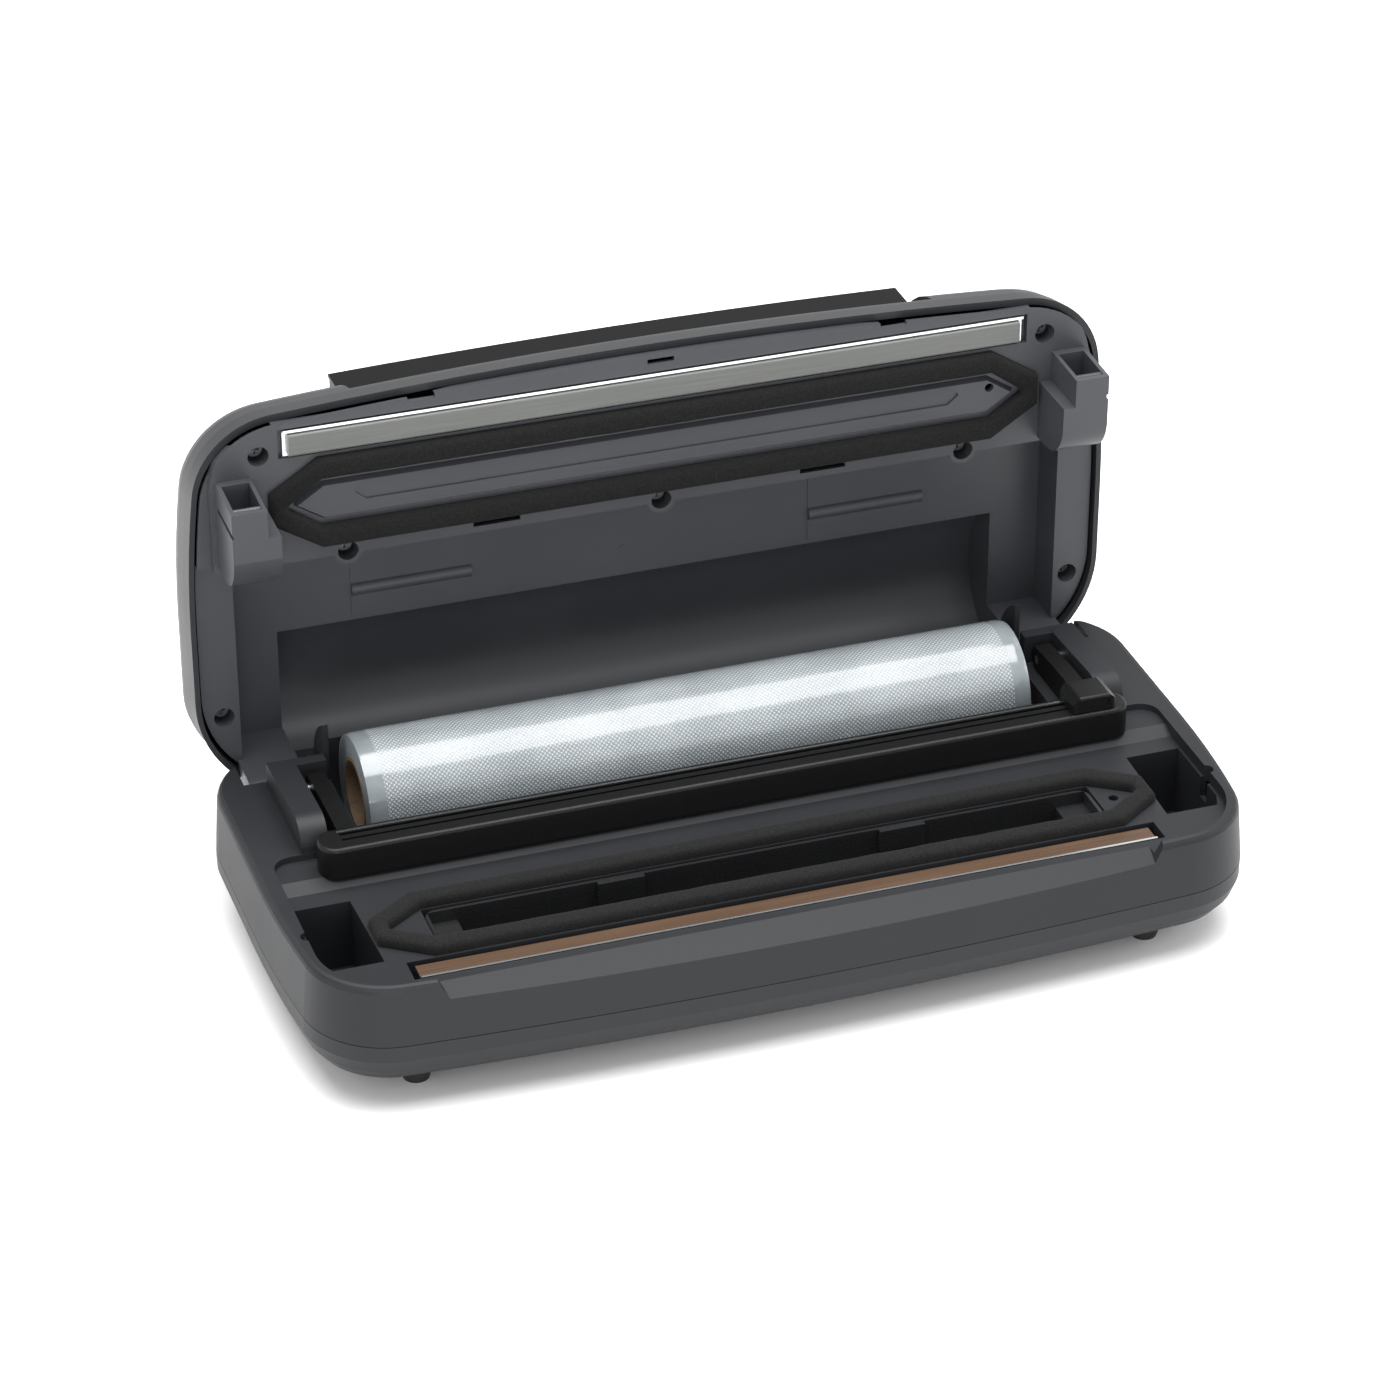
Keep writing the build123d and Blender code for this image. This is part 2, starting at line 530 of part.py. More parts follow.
def lid_volume(t):
    secs = []
    with BuildPart() as v:
        n = len(SHELL)
        for i, (w, hw, vf, vr, rf, rr) in enumerate(SHELL):
            f = i / (n - 1)
            ww = w + t * min(1.0, 1.25 * f * f) if t else w
            if t and i == 0:
                ww = w + 6.0
            g = t * (1 - 0.55 * f * f)
            with BuildSketch(LID.offset(ww)) as s:
                add(lid_outline(hw - g, vf - g, vr + g, rf - g * 0.9, rr - g * 0.9))
            secs.append(s.sketch)
        loft(sections=secs, ruled=True)
    return v.part


lid_out = lid_volume(0)
NOTCH = 123.0        # half width of the finger recess
NOTCH_V = 147.7      # its inner wall
with BuildPart() as lid_outer_shell:
    add(lid_out)
    add(lid_volume(T), mode=Mode.SUBTRACT)
    # finger recess along the front, with its wall, floor and cheeks
    add(lidbox(-NOTCH, NOTCH, NOTCH_V, 190.0, -80.0, -27.5), mode=Mode.SUBTRACT)
    add(lidbox(-NOTCH - 1.8, NOTCH + 1.8, NOTCH_V - 1.8, NOTCH_V, -80.0, -25.7) & lid_out)
    add(lidbox(-NOTCH - 1.8, NOTCH + 1.8, NOTCH_V - 1.8, 190.0, -27.5, -25.7) & lid_out)
    for s in (-1, 1):
        add(lidbox(s * NOTCH, s * (NOTCH + 1.8), NOTCH_V - 1.8, 190.0, -80.0, -25.7) & lid_out)
    # opening the control panel drops into
    add(lidbox(-112.0, 112.0, 100.0, 145.0, -80.0, -50.0), mode=Mode.SUBTRACT)

# ---------------------------------------------------------------------------
# Lid: inner liner
# ---------------------------------------------------------------------------
SCREWS = [(s * 165.5, 148.2, PLAT_W) for s in (-1, 1)] + [(s * 131.0, 98.4 + 1.6, PLAT_W) for s in (-1, 1)] + [(0.0, 100.0, PLAT_W)] + [(s * 183.5, 28.5, FLANGE_W) for s in (-1, 1)]
REC_V, REC_W, REC_R, REC_HALF = 22.0, -26.9, 31.6, 155.5


def liner_volume(t):
    """Everything behind the liner's face.  t = 0 outside, t = LINER inside."""
    with BuildPart() as v:
        g = 2.6 if t == 0 else 1.0
        with BuildSketch(LID.offset(-62.5)) as a:
            add(lid_outline(195.0 - g, 166.0 - g, -10.4 + g, 34.0, 47.0))
        extrude(amount=62.5 + FLANGE_W - t)
        # front band
        with BuildSketch(LID.offset(FLANGE_W - t - 0.01)) as b:
            add(lid_outline(195.0 - g, 167.0 - g, -10.4 + g, 34.0, 47.0))
            with Locations((0, 20)):
                Rectangle(500, 160, mode=Mode.SUBTRACT)
        extrude(amount=BAND_W - FLANGE_W + 0.01)
        # platform
        with BuildSketch(LID.offset(FLANGE_W - t - 0.01)) as c:
            with BuildLine():
                c1 = Line((0, 98.9 + t), (-185.6 + t, 98.9 + t))
                c2 = Line(c1 @ 1, (-185.6 + t, 134))
                c3 = JernArc(start=c2 @ 1, tangent=(0, 1), radius=31 - t, arc_size=-86)
                c4 = Line(c3 @ 1, (0, 166.4 - t))
                mirror(about=Plane.YZ)
            make_face()
        extrude(amount=PLAT_W - FLANGE_W + 0.01)
        # lower plane
        with BuildSketch(LID.offset(POCK_W - t)) as e:
            with BuildLine():
                e1 = Line((0, -30), (-177 - t, -30))
                e2 = Line(e1 @ 1, (-177 - t, 81))
                e3 = JernArc(start=e2 @ 1, tangent=(0, 1), radius=9 + t, arc_size=-90)
                e4 = Line(e3 @ 1, (0, 90 + t))
                mirror(about=Plane.YZ)
            make_face()
        extrude(amount=60, mode=Mode.SUBTRACT)
        # sloping wall up to the platform
        with BuildSketch(SIDE) as f:
            with BuildLine():
                Polyline((YH - POCK_W + t, ZH + 89.9 + t), (YH + 8.5 + t, ZH + 98.9 + t), (YH - 10, ZH + 98.9 + t), (YH - 10, ZH + 80), (YH - POCK_W + t, ZH + 80), close=True)
            make_face()
        extrude(amount=177 + t, both=True, mode=Mode.SUBTRACT)
        # concave recess over the bag roll
        add(cyl_x(-REC_HALF - t, REC_HALF + t, YH - REC_W, ZH + REC_V, REC_R + t), mode=Mode.SUBTRACT)
    return v.part


lin_out = liner_volume(0)
lin_in = liner_volume(LINER)
lid_clear = lid_volume(T + 0.25)

with BuildPart() as strike_pins:
    for s in (-1, 1):
        add(cyl_x(min(s * 169.8, s * 182.4), max(s * 169.8, s * 182.4), YH - 13.0, ZH + 137.0, 1.4))

with BuildPart() as lid_inner_liner:
    add(lin_out)
    add(lin_in, mode=Mode.SUBTRACT)
    # keep the liner inside the shell
    add(lid_clear, mode=Mode.INTERSECT)
    # screw bosses
    for x, v, w in SCREWS:
        add(cyl_w(x, v, w - 12.0, w - 0.4, 6.0))
    for x, v, w in SCREWS:
        add(cyl_w(x, v, w - 9.0, w + 2.0, 4.25), mode=Mode.SUBTRACT)
        add(cyl_w(x, v, w - 14.0, w, 1.6), mode=Mode.SUBTRACT)
    # latch posts: a nose with a lower shoulder on its inner side
    for s in (-1, 1):
        for x0, x1, top in ((163.9, 169.2, 126.5), (169.0, 183.4, 140.0)):
            with BuildSketch(SIDE.offset(s * (x0 + x1) / 2)) as lp:
                with BuildLine():
                    k1 = Line((YH + 9.5, ZH + 101.0), (YH - 1.0, ZH + 101.0))
                    k2 = JernArc(start=k1 @ 1, tangent=(-1, 0), radius=17.0, arc_size=-86)
                    k3 = Line(k2 @ 1, (YH - 18.0, ZH + min(top, 138.6)))
                    k4 = Line(k3 @ 1, (YH + 9.5, ZH + min(top, 139.6)))
                    k5 = Line(k4 @ 1, k1 @ 0)
                make_face()
            extrude(amount=(x1 - x0) / 2, both=True)
        # hollow nose with its window
        add(lidbox(s * 170.6, s * 181.6, 122.0, 150.0, -5.0, 15.8), mode=Mode.SUBTRACT)
        # relief groove down the outer cheek
        add(lidbox(s * 182.6, s * 190.0, 128.0, 130.2, -6.0, 20.0), mode=Mode.SUBTRACT)
        # hinge knuckle and arm
        add(cyl_x(min(s * 155.5, s * 179.0), max(s * 155.5, s * 179.0), YH, ZH, 7.5))
        add(box(s * 155.5, s * 179.0, YH, YH + 12.8, ZH - 7.5, ZH + 7.5))
        add(box(s * 155.5, s * 179.0, YH + 12.7, YH + 37.4, ZH - 7.5, ZH + 7.5) & lid_clear)
        add(cyl_x(min(s * 150, s * 190), max(s * 150, s * 190), YH, ZH, 2.55), mode=Mode.SUBTRACT)
    add(strike_pins.part, mode=Mode.SUBTRACT)
    # groove of the upper gasket, raised island and embossed panel
    with BuildSketch(LID.offset(PLAT_W - 1.0)):
        with Locations((0, GASK_V)):
            Polygon(*hexring(0, 162.5, 6.6, 142.0, 19.8), align=None)
            Polygon(*hexring(0, 154.8, 1.0, 141.0, 10.6), align=None, mode=Mode.SUBTRACT)
    extrude(amount=5, mode=Mode.SUBTRACT)
    with BuildSketch(LID.offset(PLAT_W - 1.0)):
        with Locations((0, GASK_V)):
            Polygon(*hexring(0, 154.9, 1.0, 141.1, 10.7), align=None)
    extrude(amount=5, mode=Mode.SUBTRACT)
    with BuildSketch(LID.offset(PLAT_W - 1.1)):
        with Locations((0, GASK_V)):
            Polygon(*hexring(0, 152.2, 0.8, 140.6, 8.4), align=None)
    extrude(amount=2.3, taper=32)
    with BuildSketch(LID.offset(PLAT_W + 0.3)):
        with Locations((0, GASK_V + 2.6)):
            Polygon(*hexring(0, 127.5, 0.6, 123.0, 4.2), align=None)
    extrude(amount=5, mode=Mode.SUBTRACT)
    add(cyl_w(141.2, 128.0, -16, -4, 1.9), mode=Mode.SUBTRACT)
    # slot for the seal bar
    add(lidbox(-159.3, 159.3, 143.8, 160.2, -13.2, -9.4))
    add(lidbox(-157.5, 157.5, 145.6, 158.4, -11.5, -6.0), mode=Mode.SUBTRACT)
    # two drain slots below the gasket and three snap slots at the front
    for s in (-1, 1):
        add(lidbox(s * 59.6, s * 79.2, 101.6, 103.8, -12.0, -6.0), mode=Mode.SUBTRACT)
    for x in (-99.0, 0.0, 99.0):
        add(lidbox(x - 5.6, x + 5.6, 162.2, 164.2, -20.0, -6.0), mode=Mode.SUBTRACT)
    # rib panels with a half round rib
    for s in (-1, 1):
        add(lidbox(s * 73.0, s * 124.0, 54.6, 88.0, POCK_W - 0.2, POCK_W + 0.35))
        add(cyl_x(min(s * 73.2, s * 123.8), max(s * 73.2, s * 123.8), YH - POCK_W + 1.0, ZH + 66.5, 3.2))
    add(cyl_w(-8.0, 64.4, POCK_W - 0.5, POCK_W + 0.25, 1.9))

with BuildPart() as upper_gasket:
    with BuildSketch(LID.offset(PLAT_W - 1.0)):
        with Locations((0, GASK_V)):
            Polygon(*hexring(0, 162.1, 6.2, 141.7, 19.4), align=None)
            Polygon(*hexring(0, 155.2, 1.0, 141.3, 11.0), align=None, mode=Mode.SUBTRACT)
    extrude(amount=1.7)

with BuildPart() as seal_bar_channel:
    add(lidbox(-155.4, 155.4, 146.0, 158.0, -11.4, -7.6))
    add(lidbox(-158.0, 158.0, 145.0, 156.9, -9.6, -5.0), mode=Mode.SUBTRACT)

with BuildPart() as silicone_strip:
    add(lidbox(-153.6, 153.6, 146.7, 156.2, -9.6, -6.5))
    fillet(silicone_strip.faces().sort_by(Axis.Y)[0].edges().filter_by(Axis.X), 1.0)

with BuildPart() as lid_screws:
    for x, v, w in SCREWS:
        with BuildPart(mode=Mode.PRIVATE) as ls:
            add(cyl_w(x, v, w - 9.0, w - 6.6, 3.2))
            add(cyl_w(x, v, w - 20.0, w - 9.0, 1.5))
            add(lidbox(x - 2.0, x + 2.0, v - 0.45, v + 0.45, w - 7.6, w - 6.0), mode=Mode.SUBTRACT)
            add(lidbox(x - 0.45, x + 0.45, v - 2.0, v + 2.0, w - 7.6, w - 6.0), mode=Mode.SUBTRACT)
        add(ls.part)

# ---------------------------------------------------------------------------
# Lid: control panel, keys and board
# ---------------------------------------------------------------------------
PANEL_TOP = -66.2
KEYS = {"vacuum_seal_button": 84.0, "seal_button": 44.0, "pulse_button": 0.0, "mode_button": -44.0, "cancel_button": -84.0}
with BuildPart() as control_panel:
    add(lidbox(-121.5, 121.5, 96.0, NOTCH_V + 0.3, PANEL_TOP, -49.0))
    # crowned front face
    with BuildSketch(LID.offset(PANEL_TOP)) as fr:
        with BuildLine():
            f1 = ThreePointArc((-122.0, 149.3), (0, 151.4), (122.0, 149.3))
            Polyline(f1 @ 1, (122.0, NOTCH_V + 0.1), (-122.0, NOTCH_V + 0.1), f1 @ 0)
        make_face()
    extrude(amount=20.0)
    add(lid_out, mode=Mode.SUBTRACT)
    # the part that hangs in the finger recess, and the plate under the keys
    with BuildSketch(LID.offset(PANEL_TOP)) as fr2:
        with BuildLine():
            f2 = ThreePointArc((-122.0, 149.3), (0, 151.4), (122.0, 149.3))
            Polyline(f2 @ 1, (122.0, NOTCH_V + 0.1), (-122.0, NOTCH_V + 0.1), f2 @ 0)
        make_face()
    extrude(amount=20.2)
    add(lidbox(-111.6, 111.6, 100.4, 144.6, -65.4, -61.6))
    add(lid_outer_shell.part, mode=Mode.SUBTRACT)
    for kx in KEYS.values():
        add(lidbox(kx - 12.4, kx + 12.4, 114.6, 133.4, -72, -55), mode=Mode.SUBTRACT)

buttons = {}
for kn_, kx in KEYS.items():
    with BuildPart() as key:
        add(lidbox(kx - 12.0, kx + 12.0, 115.0, 133.0, -66.8, -62.4))
        fillet(key.edges().filter_by(Axis.Y), 3.0)
        fillet(key.faces().sort_by(Axis.Y)[-1].edges(), 0.5)
    buttons[kn_] = key

with BuildPart() as lid_circuit_board:
    add(lidbox(-108.0, 108.0, 104.0, 134.0, -59.0, -57.4))
    for kx in KEYS.values():
        add(lidbox(kx - 3.0, kx + 3.0, 121.0, 127.0, -61.0, -59.0))

# ---------------------------------------------------------------------------
named = {
    "base_upper_housing": base_upper_housing, "bottom_cover": bottom_cover, "rubber_feet": rubber_feet,
    "bottom_cover_screws": bottom_cover_screws, "heater_bar": heater_bar, "heating_element": heating_element,
    "ptfe_tape": ptfe_tape, "lower_gasket": lower_gasket, "drip_tray": drip_tray, "vacuum_pump": vacuum_pump,
    "pump_motor": pump_motor, "vacuum_hose": vacuum_hose, "main_circuit_board": main_circuit_board,
    "power_board": power_board, "power_inlet": power_inlet, "lid_switches": lid_switches, "hinge_pins": hinge_pins,
    "cutter_pivot_pins": cutter_pivot_pins, "latch_shaft": latch_shaft, "latch_hooks": latch_hooks,
    "cutter_frame": cutter_frame, "cutter_rail": cutter_rail, "cutter_slider": cutter_slider,
    "cutter_blade": cutter_blade, "film_roll": film_roll, "roll_core": roll_core,
    "lid_outer_shell": lid_outer_shell, "lid_inner_liner": lid_inner_liner, "upper_gasket": upper_gasket,
    "seal_bar_channel": seal_bar_channel, "silicone_strip": silicone_strip, "strike_pins": strike_pins,
    "lid_screws": lid_screws, "control_panel": control_panel, "lid_circuit_board": lid_circuit_board,
}
named.update(buttons)
for nm, bp in named.items():
    out = bp.part.translate((0, 0, -GROUND), transform=True)
    out.label = nm
    export_step(out, "parts/" + nm + ".step")
    print(nm, len(out.solids()), round(out.volume / 1000, 1))
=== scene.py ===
import json
import math
import random

import bmesh
import bpy
from mathutils import Matrix, Vector, noise


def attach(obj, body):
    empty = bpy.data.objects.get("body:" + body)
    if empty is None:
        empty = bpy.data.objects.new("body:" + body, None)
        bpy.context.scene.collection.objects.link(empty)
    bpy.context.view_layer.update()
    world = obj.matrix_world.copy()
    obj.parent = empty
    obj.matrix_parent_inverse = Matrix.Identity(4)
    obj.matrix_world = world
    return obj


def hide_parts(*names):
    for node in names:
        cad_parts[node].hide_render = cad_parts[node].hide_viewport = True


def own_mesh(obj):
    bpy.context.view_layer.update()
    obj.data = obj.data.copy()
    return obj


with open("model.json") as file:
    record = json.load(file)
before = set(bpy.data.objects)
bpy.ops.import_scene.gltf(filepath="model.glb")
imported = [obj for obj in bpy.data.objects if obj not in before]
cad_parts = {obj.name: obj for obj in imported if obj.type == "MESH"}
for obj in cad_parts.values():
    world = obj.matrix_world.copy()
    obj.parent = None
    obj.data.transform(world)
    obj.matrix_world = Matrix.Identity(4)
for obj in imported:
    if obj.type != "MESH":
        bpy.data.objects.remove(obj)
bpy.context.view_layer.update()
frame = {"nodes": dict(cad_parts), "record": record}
nodes = frame["nodes"]
bpy.context.view_layer.update()
MM = 0.001
YH, ZH, DECK = 0.080, 0.045, 0.052


# ---------------------------------------------------------------------------
# Materials
# ---------------------------------------------------------------------------
class Tree:
    """Small helper that adds and links shader nodes."""

    def __init__(self, name):
        self.m = bpy.data.materials.new(name)
        self.m.use_nodes = True
        self.t = self.m.node_tree
        self.bsdf = next(n for n in self.t.nodes if n.type == "BSDF_PRINCIPLED")
        self.coord = self.t.nodes.new("ShaderNodeTexCoord")

    def set(self, **kw):
        for k, v in kw.items():
            self.bsdf.inputs[k.replace("_", " ")].default_value = v
        return self

    def node(self, kind, **kw):
        n = self.t.nodes.new("ShaderNode" + kind)
        for k, v in kw.items():
            setattr(n, k, v)
        return n

    def link(self, a, b):
        self.t.links.new(a, b)

    def mapping(self, scale=(1, 1, 1), rot=(0, 0, 0), src="Object"):
        n = self.node("Mapping")
        n.inputs["Scale"].default_value = scale
        n.inputs["Rotation"].default_value = rot
        self.link(self.coord.outputs[src], n.inputs["Vector"])
        return n.outputs["Vector"]

    def noise(self, scale, detail=3.0, rough=0.5, vec=None):
        n = self.node("TexNoise")
        n.inputs["Scale"].default_value = scale
        n.inputs["Detail"].default_value = detail
        n.inputs["Roughness"].default_value = rough
        self.link(vec if vec is not None else self.coord.outputs["Object"], n.inputs["Vector"])
        return n.outputs["Fac"]

    def ramp(self, fac, stops):
        n = self.node("ValToRGB")
        e = n.color_ramp.elements
        while len(e) < len(stops):
            e.new(0.5)
        for i, (p, c) in enumerate(stops):
            e[i].position = p
            e[i].color = (c[0], c[1], c[2], 1.0)
        self.link(fac, n.inputs["Fac"])
        return n.outputs["Color"]

    def map_range(self, val, a, b, c, d):
        n = self.node("MapRange")
        for i, x in zip(("From Min", "From Max", "To Min", "To Max"), (a, b, c, d)):
            n.inputs[i].default_value = x
        self.link(val, n.inputs["Value"])
        return n.outputs["Result"]

    def math(self, op, a, b=None):
        n = self.node("Math", operation=op)
        for i, x in enumerate((a, b)):
            if x is None:
                continue
            if isinstance(x, (int, float)):
                n.inputs[i].default_value = x
            else:
                self.link(x, n.inputs[i])
        return n.outputs[0]

    def bump(self, height, strength, distance, after=None):
        n = self.node("Bump")
        n.inputs["Strength"].default_value = strength
        n.inputs["Distance"].default_value = distance
        self.link(height, n.inputs["Height"])
        if after is not None:
            self.link(after, n.inputs["Normal"])
        self.link(n.outputs["Normal"], self.bsdf.inputs["Normal"])
        return n.outputs["Normal"]


def grey(v, tint=(0.96, 0.985, 1.05)):
    return (v * tint[0], v * tint[1], v * tint[2])


def moulded(name, v, rough=0.45, grain=1700.0, depth=0.000018, var=0.10, spec=0.5, tint=(0.96, 0.985, 1.05), flow=True):
    """Injection-moulded plastic: fine spark texture, faint flow marks and slightly uneven gloss."""
    t = Tree(name)
    t.set(Roughness=rough, IOR=1.49)
    t.bsdf.inputs["Specular IOR Level"].default_value = spec
    a = grey(v * (1 - var), tint)
    b = grey(v * (1 + var), tint)
    big = t.noise(14.0, 4.0, 0.55)
    t.link(t.ramp(big, [(0.30, a), (0.70, b)]), t.bsdf.inputs["Base Color"])
    fine = t.noise(grain, 2.0, 0.6)
    mid = t.noise(grain * 0.28, 2.0, 0.5)
    t.link(t.map_range(t.math("ADD", t.math("MULTIPLY", fine, 0.5), t.math("MULTIPLY", big, 0.5)), 0.3, 0.7, rough - 0.05, rough + 0.07), t.bsdf.inputs["Roughness"])
    n1 = t.bump(fine, 0.55, depth)
    n2 = t.bump(mid, 0.35, depth * 1.5, n1)
    if flow:
        t.bump(t.noise(36.0, 2.0, 0.4), 0.10, 0.00008, n2)
    return t.m


def grained(name, v, rough=0.42):
    """Nearly black bead-grained plastic with light flecks on the tips of its grain."""
    t = Tree(name)
    t.set(IOR=1.5)
    t.bsdf.inputs["Specular IOR Level"].default_value = 0.24
    vor = t.node("TexVoronoi")
    vor.inputs["Scale"].default_value = 1250.0
    t.link(t.coord.outputs["Object"], vor.inputs["Vector"])
    d = vor.outputs["Distance"]
    fleck = t.noise(2100.0, 2.0, 0.7)
    t.link(t.ramp(fleck, [(0.0, grey(v * 0.8)), (0.60, grey(v)), (0.74, grey(v * 3.4)), (1.0, grey(v * 5.0))]), t.bsdf.inputs["Base Color"])
    t.link(t.map_range(fleck, 0.3, 0.7, rough + 0.06, rough - 0.05), t.bsdf.inputs["Roughness"])
    n1 = t.bump(t.math("SUBTRACT", 1.0, d), 0.6, 0.00005)
    t.bump(t.noise(420.0, 2.0), 0.15, 0.00004, n1)
    return t.m


def foam_material(name):
    """Open-cell sponge: dark pores, paler broken cell walls."""
    t = Tree(name)
    t.set(Roughness=0.93, IOR=1.4)
    t.bsdf.inputs["Specular IOR Level"].default_value = 0.12
    v1 = t.node("TexVoronoi")
    v1.inputs["Scale"].default_value = 1500.0
    t.link(t.coord.outputs["Object"], v1.inputs["Vector"])
    v2 = t.node("TexVoronoi")
    v2.inputs["Scale"].default_value = 3300.0
    t.link(t.coord.outputs["Object"], v2.inputs["Vector"])
    n = t.noise(1700.0, 5.0, 0.75)
    t.link(t.ramp(n, [(0.30, (0.0035, 0.0035, 0.0035)), (0.50, (0.0085, 0.0085, 0.0088)), (0.64, (0.0145, 0.0145, 0.015)), (0.85, (0.036, 0.036, 0.037))]), t.bsdf.inputs["Base Color"])
    h = t.math("ADD", t.math("MULTIPLY", v1.outputs["Distance"], 0.7), t.math("MULTIPLY", v2.outputs["Distance"], 0.3))
    n1 = t.bump(h, 0.7, 0.00010)
    t.bump(t.noise(260.0, 3.0, 0.6), 0.25, 0.00012, n1)
    t.set(Sheen_Weight=0.03, Sheen_Roughness=0.6)
    return t.m


def tape_material(name):
    """Brown PTFE-coated glass cloth: plain weave with a waxy sheen and lengthwise streaks."""
    t = Tree(name)
    t.set(IOR=1.42)
    wx = t.node("TexWave", wave_type="BANDS", bands_direction="X", wave_profile="SIN")
    wy = t.node("TexWave", wave_type="BANDS", bands_direction="Y", wave_profile="SIN")
    for w in (wx, wy):
        w.inputs["Scale"].default_value = 420.0
        w.inputs["Distortion"].default_value = 0.25
        t.link(t.coord.outputs["Object"], w.inputs["Vector"])
    weave = t.math("MULTIPLY", wx.outputs["Fac"], wy.outputs["Fac"])
    streak = t.noise(9.0, 6.0, 0.62, t.mapping((2.0, 260.0, 40.0)))
    mix = t.math("ADD", t.math("MULTIPLY", weave, 0.35), t.math("MULTIPLY", streak, 0.65))
    t.link(t.ramp(mix, [(0.24, (0.028, 0.013, 0.0055)), (0.42, (0.060, 0.030, 0.014)), (0.58, (0.105, 0.057, 0.029)), (0.78, (0.21, 0.130, 0.078))]), t.bsdf.inputs["Base Color"])
    t.link(t.map_range(weave, 0.0, 1.0, 0.48, 0.30), t.bsdf.inputs["Roughness"])
    n1 = t.bump(weave, 0.5, 0.00006)
    t.bump(streak, 0.35, 0.00010, n1)
    t.set(Coat_Weight=0.18, Coat_Roughness=0.28)
    return t.m


def metal(name, c, rough=0.3, along=(3.0, 900.0, 900.0), strength=0.25):
    """Drawn or brushed metal with lengthwise lines."""
    t = Tree(name)
    t.set(Metallic=1.0)
    n = t.noise(1.0, 4.0, 0.6, t.mapping(along))
    t.link(t.ramp(n, [(0.3, tuple(x * 0.82 for x in c)), (0.7, c)]), t.bsdf.inputs["Base Color"])
    t.link(t.map_range(n, 0.3, 0.7, rough + 0.10, rough - 0.06), t.bsdf.inputs["Roughness"])
    t.bump(n, strength, 0.00002)
    return t.m


def silicone_material(name):
    """Grey heat-resistant silicone: soft satin, a few long scuffs."""
    t = Tree(name)
    t.set(IOR=1.41, Subsurface_Weight=0.08, Subsurface_Scale=0.002)
    streak = t.noise(6.0, 5.0, 0.6, t.mapping((5.0, 300.0, 300.0)))
    t.link(t.ramp(streak, [(0.20, (0.085, 0.089, 0.084)), (0.55, (0.106, 0.110, 0.104)), (0.85, (0.132, 0.136, 0.129))]), t.bsdf.inputs["Base Color"])
    t.link(t.map_range(streak, 0.3, 0.7, 0.40, 0.28), t.bsdf.inputs["Roughness"])
    n1 = t.bump(streak, 0.3, 0.00008)
    t.bump(t.noise(900.0), 0.15, 0.00002, n1)
    t.set(Coat_Weight=0.15, Coat_Roughness=0.3)
    return t.m


def film_material(name, embossed=True):
    """Wound embossed vacuum-bag film, milky where the diamonds stand up and clear at the edge bands."""
    t = Tree(name)
    t.set(IOR=1.49)
    t.bsdf.inputs["Subsurface Weight"].default_value = 0.35
    t.bsdf.inputs["Subsurface Radius"].default_value = (0.6, 0.75, 0.85)
    t.bsdf.inputs["Subsurface Scale"].default_value = 0.004
    uv = t.coord.outputs["UV"]
    sep = t.node("SeparateXYZ")
    t.link(uv, sep.inputs["Vector"])
    u, v = sep.outputs["X"], sep.outputs["Y"]
    long_noise = t.noise(1.0, 4.0, 0.6, t.mapping((7.0, 46.0, 1.0), src="UV"))
    cloud = t.noise(1.0, 4.0, 0.55, t.mapping((38.0, 30.0, 1.0), src="UV"))
    if embossed:
        pitch = 1.35 * MM
        k = 2 * math.pi / pitch / math.sqrt(2.0)
        a = t.math("SINE", t.math("MULTIPLY", t.math("ADD", u, v), k))
        b = t.math("SINE", t.math("MULTIPLY", t.math("SUBTRACT", u, v), k))
        dia = t.math("MULTIPLY", t.math("ADD", a, 1.0), t.math("ADD", b, 1.0))
        dia = t.map_range(dia, 0.0, 2.4, 0.0, 1.0)
        edge = t.math("ABSOLUTE", t.math("SUBTRACT", u, 0.141))
        mask = t.map_range(edge, 0.1335, 0.1342, 1.0, 0.0)
        dia = t.math("MULTIPLY", dia, mask)
        tone = t.math("ADD", t.math("MULTIPLY", dia, 0.34), t.math("ADD", t.math("MULTIPLY", long_noise, 0.38), t.math("MULTIPLY", cloud, 0.28)))
        t.link(t.ramp(tone, [(0.16, (0.105, 0.122, 0.130)), (0.34, (0.180, 0.202, 0.213)), (0.54, (0.275, 0.300, 0.311)), (0.80, (0.44, 0.463, 0.476))]), t.bsdf.inputs["Base Color"])
        n1 = t.bump(dia, 0.75, 0.00022)
        n2 = t.bump(long_noise, 0.55, 0.0009, n1)
        t.bump(cloud, 0.20, 0.0006, n2)
        t.link(t.map_range(dia, 0.0, 1.0, 0.16, 0.30), t.bsdf.inputs["Roughness"])
    else:
        ring = t.noise(1.0, 3.0, 0.7, t.mapping((3.0, 1.0, 1.0), src="UV"))
        t.link(t.ramp(ring, [(0.3, (0.20, 0.235, 0.26)), (0.7, (0.36, 0.40, 0.43))]), t.bsdf.inputs["Base Color"])
        t.bump(ring, 0.5, 0.0003)
        t.set(Roughness=0.3)
    t.set(Coat_Weight=0.75, Coat_Roughness=0.14, Coat_IOR=1.55)
    return t.m


def card_material(name):
    t = Tree(name)
    t.set(Roughness=0.85)
    fib = t.noise(1.0, 6.0, 0.7, t.mapping((160.0, 900.0, 900.0)))
    big = t.noise(120.0, 3.0)
    f = t.math("ADD", t.math("MULTIPLY", fib, 0.6), t.math("MULTIPLY", big, 0.4))
    t.link(t.ramp(f, [(0.3, (0.085, 0.052, 0.031)), (0.55, (0.15, 0.098, 0.060)), (0.75, (0.22, 0.155, 0.10))]), t.bsdf.inputs["Base Color"])
    t.bump(f, 0.5, 0.00015)
    return t.m


